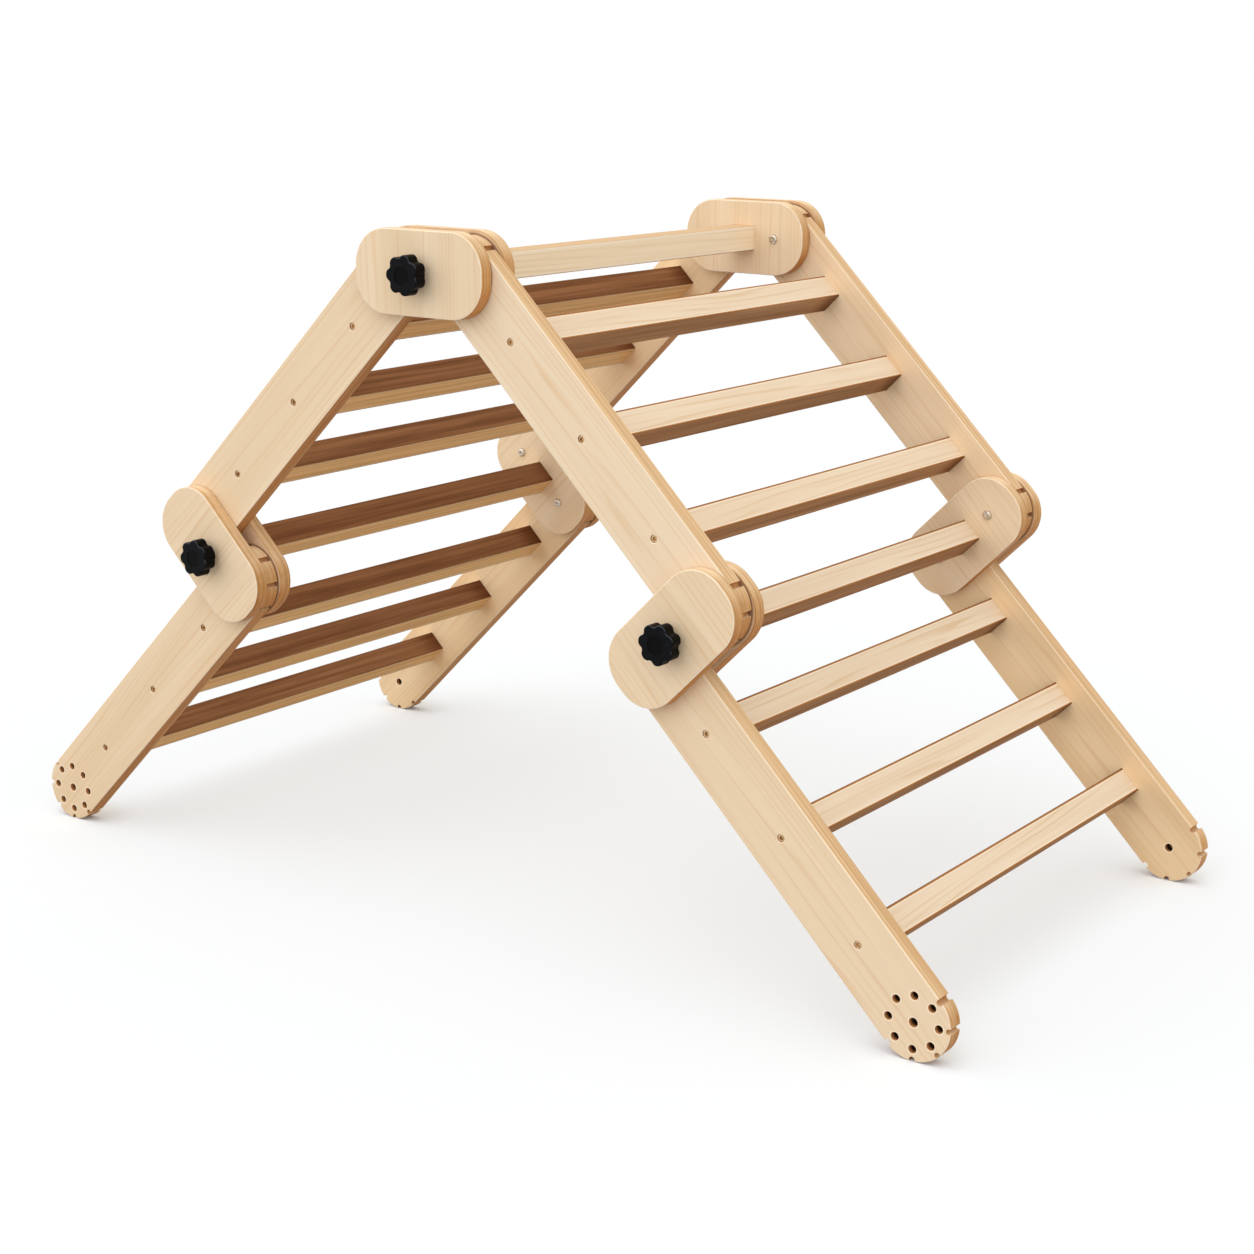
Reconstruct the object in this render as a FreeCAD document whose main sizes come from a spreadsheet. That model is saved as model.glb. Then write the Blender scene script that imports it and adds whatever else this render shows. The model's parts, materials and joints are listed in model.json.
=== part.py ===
"""Folding climbing frame for children: four ladder sections joined by three hinge stations.

A section is two round-ended rails with three rungs screwed between them. At a station two rail
ends lie side by side between an outer and an inner plate and turn there on sleeves. A star knob
on a long stud draws the plates, the rails and the station's own rung together.
Millimetres, +Z up, rungs along Y, origin on the floor below the middle of the top station.
"""
import FreeCAD
import Part
import Sketcher
import math
import os
from types import SimpleNamespace

LENGTHS = {
    # Rails: pitch is pivot to pivot, frame width is across the rails' outer faces
    "rail_width": 76.0,
    "rail_thickness": 19.0,
    "rail_pitch": 410.0,
    "frame_width": 600.0,
    "rail_round": 1.2,
    # Index holes and notches of a rail end
    "pivot_bore_diameter": 9.0,
    "ring_radius": 26.0,
    "ring_hole_diameter": 8.0,
    "ring_hole_depth": 8.0,
    "notch_diameter": 6.0,
    "notch_straight": 1.8,
    "mouth_ease": 0.5,
    # Rungs: breadth lies along the rails, depth across them
    "rung_breadth": 30.0,
    "rung_depth": 28.0,
    "rung_round": 1.5,
    "rung_spacing": 120.0,
    "housing_depth": 4.0,
    "housing_slack": 0.1,
    # Hinge plates: lips are what shows past the rails at the sides and ends
    "plate_thickness": 16.0,
    "plate_side_lip": 4.0,
    "plate_end_lip": 1.0,
    "plate_round": 1.2,
    # Clearances: between bodies that move, and radial in running and screwed fits
    "moving_gap": 0.3,
    "running_fit": 0.05,
    "overrun": 2.0,
    # Rung screws
    "screw_diameter": 5.0,
    "screw_length": 50.0,
    "screw_head_diameter": 7.4,
    "screw_head_height": 3.5,
    "screw_head_slack": 0.3,
    "screw_recess": 1.5,
    "key_across_flats": 4.0,
    "key_depth": 2.0,
    # Pivot sleeves and bolts
    "sleeve_seat": 10.0,
    "bolt_diameter": 6.0,
    "bolt_length": 35.0,
    "bolt_hole_slack": 0.2,
    "bolt_head_diameter": 10.5,
    "bolt_head_height": 3.3,
    "bolt_head_round": 2.4,
    # Knobs with their studs and the threaded inserts
    "stud_diameter": 6.0,
    "stud_hole_slack": 0.5,
    "stud_engagement": 12.0,
    "stud_point": 1.0,
    "insert_diameter": 10.0,
    "insert_length": 14.0,
    "knob_diameter": 40.0,
    "knob_head_height": 14.0,
    "knob_hub_diameter": 20.0,
    "knob_hub_height": 9.0,
    "knob_socket_depth": 13.0,
    "scallop_radius": 3.5,
    "scallop_depth": 3.2,
    "lobe_round": 6.0,
    "knob_edge_round": 1.2,
    "knob_back_round": 1.0,
    "knob_cap_diameter": 18.0,
    "knob_cap_depth": 0.4,
}
COUNTS = {"rungs": 3, "ring_holes": 8, "rim_notches": 5, "knob_lobes": 7}
ANGLES = {"stand_angle": 45.0, "full_turn": 360.0, "half_turn": 180.0, "quarter_turn": 90.0}

size = SimpleNamespace(**LENGTHS, **COUNTS, **ANGLES)

# Sizes worked out from the driving ones
size.rail_end_radius = size.rail_width / 2
size.pivot_bore_radius = size.pivot_bore_diameter / 2
size.ring_hole_radius = size.ring_hole_diameter / 2
size.notch_radius = size.notch_diameter / 2
size.notch_centre = size.rail_end_radius - size.notch_straight
size.rung_run = (size.rungs - 1) * size.rung_spacing
size.first_rung = (size.rail_pitch - size.rung_run) / 2
size.housing_breadth = size.rung_breadth + 2 * size.housing_slack
size.housing_width = size.rung_depth + 2 * size.housing_slack
size.pivot_spacing = size.rail_width + size.stud_diameter + 2 * size.moving_gap
size.plate_pivot = size.pivot_spacing / 2
size.plate_length = size.pivot_spacing + size.rail_width + 2 * size.plate_end_lip
size.plate_width = size.rail_width + 2 * size.plate_side_lip
size.stud_hole_radius = size.stud_diameter / 2 + size.stud_hole_slack
size.stud_radius = size.stud_diameter / 2
size.thread_radius = size.stud_radius + size.running_fit
size.bolt_hole_radius = size.bolt_diameter / 2 + size.bolt_hole_slack
size.bolt_radius = size.bolt_diameter / 2
size.bolt_head_radius = size.bolt_head_diameter / 2
size.bolt_full_length = size.bolt_head_height + size.bolt_length
size.sleeve_radius = size.pivot_bore_radius - size.running_fit
size.sleeve_bore_radius = size.bolt_radius + size.running_fit
size.sleeve_length = size.rail_thickness + 2 * size.moving_gap + size.sleeve_seat
size.screw_radius = size.screw_diameter / 2
size.screw_head_radius = size.screw_head_diameter / 2
size.screw_full_length = size.screw_length + size.screw_head_height
size.screw_hole_diameter = size.screw_diameter + 2 * size.running_fit
size.screw_hole_radius = size.screw_hole_diameter / 2
size.counterbore_diameter = size.screw_head_diameter + 2 * size.screw_head_slack
size.counterbore_depth = size.screw_head_height + size.screw_recess
size.screw_in_rail = size.rail_thickness - size.counterbore_depth - size.housing_depth
size.rung_bore_depth = size.screw_length - size.screw_in_rail + size.overrun
size.key_radius = size.key_across_flats / math.sqrt(3)
size.insert_radius = size.insert_diameter / 2
size.insert_bore_radius = size.insert_radius + size.running_fit
size.knob_radius = size.knob_diameter / 2
size.knob_hub_radius = size.knob_hub_diameter / 2
size.knob_height = size.knob_hub_height + size.knob_head_height
size.knob_cap_radius = size.knob_cap_diameter / 2
size.scallop_centre = size.knob_radius - size.scallop_depth + size.scallop_radius

# A foot stands on the two edges of the notch that points straight down
size.foot_height = math.sqrt(size.rail_end_radius ** 2 - size.notch_radius ** 2)

# Places along Y, as distances from the middle of the frame
size.rail_outside = size.frame_width / 2
size.rail_inside = size.rail_outside - size.rail_thickness
size.inner_plate_outside = size.rail_inside - size.moving_gap
size.inner_plate_inside = size.inner_plate_outside - size.plate_thickness
size.outer_plate_inside = size.rail_outside + size.moving_gap
size.outer_plate_outside = size.outer_plate_inside + size.plate_thickness
size.section_rung_end = size.rail_inside + size.housing_depth
size.section_rung_length = 2 * size.section_rung_end
size.station_rung_end = size.inner_plate_inside + size.housing_depth
size.station_rung_length = 2 * size.station_rung_end
size.knob_seat = size.outer_plate_outside + size.moving_gap
size.stud_start = size.station_rung_end - size.stud_engagement
size.stud_length = size.knob_seat + size.knob_socket_depth - size.stud_start

doc = FreeCAD.newDocument("climbing_frame")
sheet = doc.addObject("Spreadsheet::Sheet", "Sizes")
for row, (alias, value) in enumerate(vars(size).items(), start=1):
    sheet.set(f"A{row}", alias)
    sheet.set(f"B{row}", str(value))
    sheet.setAlias(f"B{row}", alias)
doc.recompute()

X_AXIS = FreeCAD.Vector(1, 0, 0)
Y_AXIS = FreeCAD.Vector(0, 1, 0)
Z_AXIS = FreeCAD.Vector(0, 0, 1)
ORIGIN = FreeCAD.Vector(0, 0, 0)
SIDES = {"near": -1, "far": 1}
nodes = []


def bind(thing, setting, alias):
    """Let a setting of a document object follow a cell of the sheet."""
    thing.setExpression(setting, f"Sizes.{alias}")


# Sketches
def new_body(label):
    body = doc.addObject("PartDesign::Body", label)
    body.Label = label
    return body


def new_sketch(body, name, role="XY_Plane", lift=None, along=None):
    """A sketch on an origin plane of its body, lifted off it or shifted along its first axis."""
    sketch = body.newObject("Sketcher::SketchObject", f"{body.Name}_{name}")
    base = next(item for item in body.Origin.OriginFeatures if item.Role == role)
    sketch.AttachmentSupport = [(base, "")]
    sketch.MapMode = "FlatFace"
    if lift:
        bind(sketch, "AttachmentOffset.Base.z", lift)
    if along:
        bind(sketch, "AttachmentOffset.Base.x", along)
    return sketch


def dimension(sketch, kind, *where, alias):
    """A driving dimension of a sketch that follows the sheet."""
    index = sketch.addConstraint(Sketcher.Constraint(kind, *where, getattr(size, alias)))
    bind(sketch, f"Constraints[{index}]", alias)


def put_point(sketch, item, corner, x, y):
    """Hold a point at the places that two aliases give, or on an axis where one is None."""
    if x:
        dimension(sketch, "DistanceX", -1, 1, item, corner, alias=x)
    else:
        sketch.addConstraint(Sketcher.Constraint("PointOnObject", item, corner, -2))
    if y:
        dimension(sketch, "DistanceY", -1, 1, item, corner, alias=y)
    else:
        sketch.addConstraint(Sketcher.Constraint("PointOnObject", item, corner, -1))


def place(x, y):
    return FreeCAD.Vector(getattr(size, x) if x else 0, getattr(size, y) if y else 0, 0)


def add_circle(sketch, radius, x=None):
    """A circle about the sketch's origin, or about a place on its first axis."""
    item = sketch.addGeometry(Part.Circle(place(x, None), Z_AXIS, getattr(size, radius)))
    put_point(sketch, item, 3, x, None)
    dimension(sketch, "Radius", item, alias=radius)


def add_polygon(sketch, corners):
    """A closed outline through corners, each a pair of aliases or None for on the axis."""
    first = 0
    last = len(corners) - 1
    for index, corner in enumerate(corners):
        following = corners[index + 1] if index < last else corners[first]
        sketch.addGeometry(Part.LineSegment(place(*corner), place(*following)))
    for index, corner in enumerate(corners):
        following = index + 1 if index < last else first
        sketch.addConstraint(Sketcher.Constraint("Coincident", index, 2, following, 1))
        put_point(sketch, index, 1, *corner)


def add_rectangle(sketch, length, width):
    """A rectangle centred on the sketch's origin."""
    x = getattr(size, length) / 2
    y = getattr(size, width) / 2
    corners = [FreeCAD.Vector(*at, 0) for at in ((-x, -y), (x, -y), (x, y), (-x, y))]
    for index in range(4):
        sketch.addGeometry(Part.LineSegment(corners[index], corners[(index + 1) % 4]))
    for index in range(4):
        sketch.addConstraint(Sketcher.Constraint("Coincident", index, 2, (index + 1) % 4, 1))
        sketch.addConstraint(Sketcher.Constraint("Vertical" if index % 2 else "Horizontal", index))
    sketch.addConstraint(Sketcher.Constraint("Symmetric", 0, 1, 1, 2, -1, 1))
    dimension(sketch, "DistanceX", 0, 1, 0, 2, alias=length)
    dimension(sketch, "DistanceY", 1, 1, 1, 2, alias=width)


def add_slot(sketch, start, end, radius, upright=False):
    """A round-ended outline along the first axis, or the second, between its two end centres."""
    r = getattr(size, radius)
    spots = [(None, alias) if upright else (alias, None) for alias in (start, end)]
    near, far = [place(*spot) for spot in spots]
    side = FreeCAD.Vector(r, 0, 0) if upright else FreeCAD.Vector(0, -r, 0)
    quarter = math.pi / 2
    turn = quarter if upright else 0
    near_round = Part.Circle(near, Z_AXIS, r)
    far_round = Part.Circle(far, Z_AXIS, r)
    sketch.addGeometry(Part.ArcOfCircle(near_round, turn + quarter, turn + 3 * quarter))
    sketch.addGeometry(Part.ArcOfCircle(far_round, turn - quarter, turn + quarter))
    sketch.addGeometry(Part.LineSegment(near + side, far + side))
    sketch.addGeometry(Part.LineSegment(far - side, near - side))
    for arc, arc_end, line, line_end in ((0, 2, 2, 1), (2, 2, 1, 1), (1, 2, 3, 1), (3, 2, 0, 1)):
        sketch.addConstraint(Sketcher.Constraint("Tangent", arc, arc_end, line, line_end))
    for arc, spot in enumerate(spots):
        put_point(sketch, arc, 3, *spot)
    dimension(sketch, "Radius", 0, alias=radius)


def add_hexagon(sketch, radius):
    """A key socket's outline about the sketch's origin."""
    r = getattr(size, radius)
    rim = sketch.addGeometry(Part.Circle(ORIGIN, Z_AXIS, r), True)
    put_point(sketch, rim, 3, None, None)
    dimension(sketch, "Radius", rim, alias=radius)
    turns = [math.pi * index / 3 for index in range(6)]
    corners = [FreeCAD.Vector(r * math.cos(turn), r * math.sin(turn), 0) for turn in turns]
    sides = [
        sketch.addGeometry(Part.LineSegment(corners[index], corners[(index + 1) % 6]))
        for index in range(6)
    ]
    for index, side in enumerate(sides):
        following = sides[(index + 1) % 6]
        sketch.addConstraint(Sketcher.Constraint("Coincident", side, 2, following, 1))
        sketch.addConstraint(Sketcher.Constraint("PointOnObject", side, 1, rim))
        if index:
            sketch.addConstraint(Sketcher.Constraint("Equal", sides[0], side))
    sketch.addConstraint(Sketcher.Constraint("PointOnObject", sides[0], 1, -1))


# Features
def add_pad(body, sketch, length, symmetric=False):
    pad = body.newObject("PartDesign::Pad", f"{sketch.Name}_pad")
    pad.Profile = sketch
    bind(pad, "Length", length)
    if symmetric:
        pad.SideType = "Symmetric"
    doc.recompute()
    return pad


def add_pocket(body, sketch, depth=None, upwards=False):
    """A cut below its sketch, or above it, to a depth or right through."""
    pocket = body.newObject("PartDesign::Pocket", f"{sketch.Name}_cut")
    pocket.Profile = sketch
    pocket.Reversed = upwards
    if depth:
        bind(pocket, "Length", depth)
    else:
        pocket.Type = "ThroughAll"
    return pocket


def add_revolution(body, sketch):
    turned = body.newObject("PartDesign::Revolution", f"{sketch.Name}_turned")
    turned.Profile = sketch
    turned.ReferenceAxis = (sketch, ["V_Axis"])
    bind(turned, "Angle", "full_turn")
    doc.recompute()
    return turned


def add_polar(body, originals, axis_sketch, angle, count, backwards=False):
    pattern = body.newObject("PartDesign::PolarPattern", f"{axis_sketch.Name}_round")
    pattern.Originals = originals
    pattern.Axis = (axis_sketch, ["N_Axis"])
    bind(pattern, "Angle", angle)
    bind(pattern, "Occurrences", count)
    pattern.Reversed = backwards
    body.Tip = pattern
    doc.recompute()
    return pattern


def add_row(body, originals, axis_sketch, length, count):
    pattern = body.newObject("PartDesign::LinearPattern", f"{axis_sketch.Name}_row")
    pattern.Originals = originals
    pattern.Direction = (axis_sketch, ["H_Axis"])
    bind(pattern, "Length", length)
    bind(pattern, "Occurrences", count)
    body.Tip = pattern
    doc.recompute()
    return pattern


def add_mirror(body, originals, role):
    pattern = body.newObject("PartDesign::Mirrored", f"{originals[0].Name}_mirrored")
    pattern.Originals = originals
    base = next(item for item in body.Origin.OriginFeatures if item.Role == role)
    pattern.MirrorPlane = (base, [""])
    body.Tip = pattern
    doc.recompute()
    return pattern


def add_dressing(body, kind, feature, wanted, setting, alias):
    """A Fillet or Chamfer on the edges of a feature that pass a test."""
    doc.recompute()
    edges = enumerate(feature.Shape.Edges, start=1)
    names = [f"Edge{index}" for index, edge in edges if wanted(edge)]
    dressing = body.newObject(f"PartDesign::{kind}", f"{feature.Name}_{kind.lower()}")
    dressing.Base = (feature, names)
    bind(dressing, setting, alias)
    doc.recompute()
    return dressing


def is_zero(length):
    return round(length, 3) == 0


def lies_flat(edge):
    return is_zero(edge.BoundBox.ZLength)


def stands_upright(edge):
    return is_zero(edge.BoundBox.XLength) and is_zero(edge.BoundBox.YLength)


def runs_across(edge):
    return is_zero(edge.BoundBox.XLength) and is_zero(edge.BoundBox.ZLength)


def on_base(edge):
    return is_zero(edge.BoundBox.ZMax)


def at_height(alias):
    return lambda edge: lies_flat(edge) and is_zero(edge.BoundBox.ZMax - getattr(size, alias))


def is_rail_mouth(edge):
    """The rim of a round hole in a rail's inner or outer face."""
    return edge.Closed and (on_base(edge) or at_height("rail_thickness")(edge))


# Pieces of a section
def make_rail(label):
    """Round-ended board: local X along it from its first pivot, Z from its inner to outer face."""
    body = new_body(label)
    outline = new_sketch(body, "outline")
    add_slot(outline, None, "rail_pitch", "rail_end_radius")
    blank = add_pad(body, outline, "rail_thickness")
    add_dressing(body, "Fillet", blank, lies_flat, "Radius", "rail_round")

    bores = new_sketch(body, "pivot_bores", lift="rail_thickness")
    add_circle(bores, "pivot_bore_radius")
    add_circle(bores, "pivot_bore_radius", x="rail_pitch")
    add_pocket(body, bores)

    for end, along in (("first", None), ("second", "rail_pitch")):
        ring = new_sketch(body, f"{end}_ring", lift="rail_thickness", along=along)
        add_circle(ring, "ring_hole_radius", x="ring_radius")
        hole = add_pocket(body, ring, depth="ring_hole_depth")
        add_polar(body, [hole], ring, "full_turn", "ring_holes")
        rim = new_sketch(body, f"{end}_rim", lift="rail_thickness", along=along)
        add_slot(rim, "notch_centre", "rail_end_radius", "notch_radius", upright=True)
        notch = add_pocket(body, rim)
        add_polar(body, [notch], rim, "half_turn", "rim_notches", backwards=end == "second")

    seat = new_sketch(body, "housing", along="first_rung")
    add_rectangle(seat, "housing_breadth", "housing_width")
    housing = add_pocket(body, seat, depth="housing_depth", upwards=True)
    drilling = new_sketch(body, "screw_hole", lift="rail_thickness", along="first_rung")
    add_circle(drilling, "screw_hole_radius")
    doc.recompute()
    hole = body.newObject("PartDesign::Hole", f"{drilling.Name}_drilled")
    hole.Profile = drilling
    doc.recompute()
    hole.ThreadType = "None"
    hole.DepthType = "ThroughAll"
    hole.DrillPoint = "Flat"
    hole.HoleCutType = "Counterbore"
    hole.HoleCutCustomValues = True
    bind(hole, "Diameter", "screw_hole_diameter")
    bind(hole, "HoleCutDiameter", "counterbore_diameter")
    bind(hole, "HoleCutDepth", "counterbore_depth")
    doc.recompute()
    drilled = add_row(body, [housing, hole], drilling, "rung_run", "rungs")
    add_dressing(body, "Chamfer", drilled, is_rail_mouth, "Size", "mouth_ease")
    return body


def make_rung(label, length, end, bore_radius, bore_depth):
    """Round-edged bar: local Y along it from its middle, with a bore in each end for what holds it."""
    body = new_body(label)
    section = new_sketch(body, "section", role="XZ_Plane")
    add_rectangle(section, "rung_breadth", "rung_depth")
    bar = add_pad(body, section, length, symmetric=True)
    add_dressing(body, "Fillet", bar, runs_across, "Radius", "rung_round")
    drilling = new_sketch(body, "bore", role="XZ_Plane", lift=end)
    add_circle(drilling, bore_radius)
    bore = add_pocket(body, drilling, depth=bore_depth)
    doc.recompute()
    add_mirror(body, [bore], "XZ_Plane")
    return body


def make_section_rung(label):
    return make_rung(label, "section_rung_length", "section_rung_end", "screw_hole_radius", "rung_bore_depth")


def make_station_rung(label):
    return make_rung(label, "station_rung_length", "station_rung_end", "insert_bore_radius", "insert_length")


def make_screw(label):
    """Rung screw: local Z from its tip to its socket head."""
    body = new_body(label)
    profile = new_sketch(body, "profile", role="XZ_Plane")
    add_polygon(profile, [
        (None, None),
        ("screw_radius", None),
        ("screw_radius", "screw_length"),
        ("screw_head_radius", "screw_length"),
        ("screw_head_radius", "screw_full_length"),
        (None, "screw_full_length"),
    ])
    add_revolution(body, profile)
    socket = new_sketch(body, "socket", lift="screw_full_length")
    add_hexagon(socket, "key_radius")
    add_pocket(body, socket, depth="key_depth")
    doc.recompute()
    return body


# Pieces of a station
def make_plate_blank(label):
    """Round-cornered board: local X along it from its middle, Z away from the rails."""
    body = new_body(label)
    outline = new_sketch(body, "outline")
    add_rectangle(outline, "plate_length", "plate_width")
    board = add_pad(body, outline, "plate_thickness")
    rounded = add_dressing(body, "Fillet", board, stands_upright, "Radius", "rail_end_radius")
    add_dressing(body, "Fillet", rounded, lies_flat, "Radius", "plate_round")
    stud_hole = new_sketch(body, "stud_hole", lift="plate_thickness")
    add_circle(stud_hole, "stud_hole_radius")
    add_pocket(body, stud_hole)
    doc.recompute()
    return body


def make_outer_plate(label):
    """Outer plate: blind seats for the two sleeves, so its outer face shows only the knob."""
    body = make_plate_blank(label)
    seat = new_sketch(body, "sleeve_seat")
    add_circle(seat, "pivot_bore_radius", x="plate_pivot")
    bore = add_pocket(body, seat, depth="sleeve_seat", upwards=True)
    doc.recompute()
    add_mirror(body, [bore], "YZ_Plane")
    return body


def make_inner_plate(label):
    """Inner plate: two bolt holes, and a housing for the station's rung."""
    body = make_plate_blank(label)
    drilling = new_sketch(body, "bolt_hole", lift="plate_thickness")
    add_circle(drilling, "bolt_hole_radius", x="plate_pivot")
    hole = add_pocket(body, drilling)
    doc.recompute()
    add_mirror(body, [hole], "YZ_Plane")
    seat = new_sketch(body, "housing", lift="plate_thickness")
    add_rectangle(seat, "housing_breadth", "housing_width")
    add_pocket(body, seat, depth="housing_depth")
    doc.recompute()
    return body


def make_sleeve(label):
    """Threaded sleeve that a rail end turns on: local Z outwards."""
    body = new_body(label)
    section = new_sketch(body, "section")
    add_circle(section, "sleeve_radius")
    add_circle(section, "sleeve_bore_radius")
    add_pad(body, section, "sleeve_length")
    return body


def make_insert(label):
    """Threaded insert in the end of a station's rung: local Z outwards."""
    body = new_body(label)
    section = new_sketch(body, "section")
    add_circle(section, "insert_radius")
    add_circle(section, "thread_radius")
    add_pad(body, section, "insert_length")
    return body


def make_bolt(label):
    """Button-head bolt that joins a plate pair at a pivot: local Z from its head outwards."""
    body = new_body(label)
    profile = new_sketch(body, "profile", role="XZ_Plane")
    add_polygon(profile, [
        (None, None),
        ("bolt_head_radius", None),
        ("bolt_head_radius", "bolt_head_height"),
        ("bolt_radius", "bolt_head_height"),
        ("bolt_radius", "bolt_full_length"),
        (None, "bolt_full_length"),
    ])
    blank = add_revolution(body, profile)
    add_dressing(body, "Fillet", blank, on_base, "Radius", "bolt_head_round")
    socket = new_sketch(body, "socket")
    add_hexagon(socket, "key_radius")
    add_pocket(body, socket, depth="key_depth", upwards=True)
    doc.recompute()
    return body


# Pieces of a knob
def make_knob(label):
    """Star knob: local Z outwards from its hub's seat, with finger scallops round its head."""
    body = new_body(label)
    disc = new_sketch(body, "disc", lift="knob_hub_height")
    add_circle(disc, "knob_radius")
    add_pad(body, disc, "knob_head_height")
    grip = new_sketch(body, "scallop", lift="knob_height")
    add_circle(grip, "scallop_radius", x="scallop_centre")
    scallop = add_pocket(body, grip, depth="knob_head_height")
    star = add_polar(body, [scallop], grip, "full_turn", "knob_lobes")
    lobes = add_dressing(body, "Fillet", star, stands_upright, "Radius", "lobe_round")
    front = add_dressing(body, "Fillet", lobes, at_height("knob_height"), "Radius", "knob_edge_round")
    add_dressing(body, "Fillet", front, at_height("knob_hub_height"), "Radius", "knob_back_round")
    hub = new_sketch(body, "hub")
    add_circle(hub, "knob_hub_radius")
    add_pad(body, hub, "knob_hub_height")
    cap = new_sketch(body, "cap", lift="knob_height")
    add_circle(cap, "knob_cap_radius")
    add_pocket(body, cap, depth="knob_cap_depth")
    socket = new_sketch(body, "stud_socket")
    add_circle(socket, "thread_radius")
    add_pocket(body, socket, depth="knob_socket_depth", upwards=True)
    doc.recompute()
    return body


def make_stud(label):
    """Threaded stud of a knob: local Z outwards from its end in the station's rung."""
    body = new_body(label)
    section = new_sketch(body, "section")
    add_circle(section, "stud_radius")
    rod = add_pad(body, section, "stud_length")
    add_dressing(body, "Chamfer", rod, on_base, "Size", "stud_point")
    return body


# Places
def turned(angle, axis=Y_AXIS):
    return FreeCAD.Rotation(axis, angle)


def facing(side, distance, x=0, outwards=True):
    """Where a piece stands whose local Z points to or from the frame's side at a distance in Y."""
    angle = -side * size.quarter_turn if outwards else side * size.quarter_turn
    return FreeCAD.Placement(FreeCAD.Vector(x, side * distance, 0), turned(angle, X_AXIS))


def add_copies(make, spots):
    """One piece made with its own history, and a clone of it at every other spot."""
    master = None
    for label, spot in spots.items():
        if master is None:
            master = make(label)
            piece = master
        else:
            piece = new_body(label)
            base = piece.newObject("PartDesign::FeatureBase", f"{label}_base")
            base.BaseFeature = master
            piece.Tip = base
        piece.Placement = spot
        nodes.append(piece)


def add_hardware(label, pattern, frame, spots):
    """One node that holds like pieces of hardware as separate solids."""
    solids = []
    for spot in spots:
        solid = pattern.Shape.copy()
        solid.Placement = spot
        solids.append(solid)
    node = doc.addObject("Part::Feature", label)
    node.Label = label
    node.Shape = Part.makeCompound(solids)
    node.Placement = frame
    nodes.append(node)


lean = math.radians(size.stand_angle)
top_height = (
    size.foot_height
    + 2 * size.rail_pitch * math.sin(lean)
    + size.pivot_spacing * math.cos(lean)
)
across = size.quarter_turn - size.stand_angle
section_frames = {}
station_frames = {"top": FreeCAD.Placement(FreeCAD.Vector(0, 0, top_height), turned(0))}
for name, hand in (("left", -1), ("right", 1)):
    downwards = FreeCAD.Vector(hand * math.cos(lean), 0, -math.sin(lean))
    inwards = FreeCAD.Vector(-hand * math.sin(lean), 0, -math.cos(lean))
    upper_pivot = FreeCAD.Vector(hand * size.plate_pivot, 0, top_height)
    middle_outer_pivot = upper_pivot + downwards * size.rail_pitch
    middle_inner_pivot = middle_outer_pivot + inwards * size.pivot_spacing
    along_rail = turned(size.stand_angle if hand > 0 else size.half_turn - size.stand_angle)
    section_frames[f"{name}_upper"] = FreeCAD.Placement(upper_pivot, along_rail)
    section_frames[f"{name}_lower"] = FreeCAD.Placement(middle_inner_pivot, along_rail)
    middle = (middle_outer_pivot + middle_inner_pivot) * 0.5
    station_frames[f"{name}_mid"] = FreeCAD.Placement(middle, turned(-hand * across))

rung_places = [size.first_rung + index * size.rung_spacing for index in range(size.rungs)]
pivot_places = (-size.plate_pivot, size.plate_pivot)

# Sections
add_copies(make_rail, {
    f"{section}_{side}_rail": frame.multiply(facing(sign, size.rail_inside))
    for section, frame in section_frames.items()
    for side, sign in SIDES.items()
})
add_copies(make_section_rung, {
    f"{section}_rung_{number}": frame.multiply(FreeCAD.Placement(X_AXIS * at, turned(0)))
    for section, frame in section_frames.items()
    for number, at in enumerate(rung_places, start=1)
})
screw = make_screw("rung_screw_pattern")
screw_tip = size.rail_outside - size.counterbore_depth - size.screw_length
for section, frame in section_frames.items():
    spots = [facing(sign, screw_tip, x=at) for at in rung_places for sign in SIDES.values()]
    add_hardware(f"{section}_rung_screws", screw, frame, spots)

# Stations
add_copies(make_station_rung, {f"{station}_rung": frame for station, frame in station_frames.items()})
add_copies(make_outer_plate, {
    f"{station}_{side}_outer_plate": frame.multiply(facing(sign, size.outer_plate_inside))
    for station, frame in station_frames.items()
    for side, sign in SIDES.items()
})
add_copies(make_inner_plate, {
    f"{station}_{side}_inner_plate": frame.multiply(facing(sign, size.inner_plate_outside, outwards=False))
    for station, frame in station_frames.items()
    for side, sign in SIDES.items()
})
sleeve = make_sleeve("pivot_sleeve_pattern")
bolt = make_bolt("pivot_bolt_pattern")
insert = make_insert("rung_insert_pattern")
bolt_head = size.inner_plate_inside - size.bolt_head_height
insert_end = size.station_rung_end - size.insert_length
for station, frame in station_frames.items():
    pivots = [(sign, at) for at in pivot_places for sign in SIDES.values()]
    sleeve_spots = [facing(sign, size.inner_plate_outside, x=at) for sign, at in pivots]
    bolt_spots = [facing(sign, bolt_head, x=at) for sign, at in pivots]
    insert_spots = [facing(sign, insert_end) for sign in SIDES.values()]
    add_hardware(f"{station}_pivot_sleeves", sleeve, frame, sleeve_spots)
    add_hardware(f"{station}_pivot_bolts", bolt, frame, bolt_spots)
    add_hardware(f"{station}_rung_inserts", insert, frame, insert_spots)

# Knobs
add_copies(make_knob, {
    f"{station}_{side}_knob": frame.multiply(facing(sign, size.knob_seat))
    for station, frame in station_frames.items()
    for side, sign in SIDES.items()
})
add_copies(make_stud, {
    f"{station}_{side}_stud": frame.multiply(facing(sign, size.stud_start))
    for station, frame in station_frames.items()
    for side, sign in SIDES.items()
})

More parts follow.
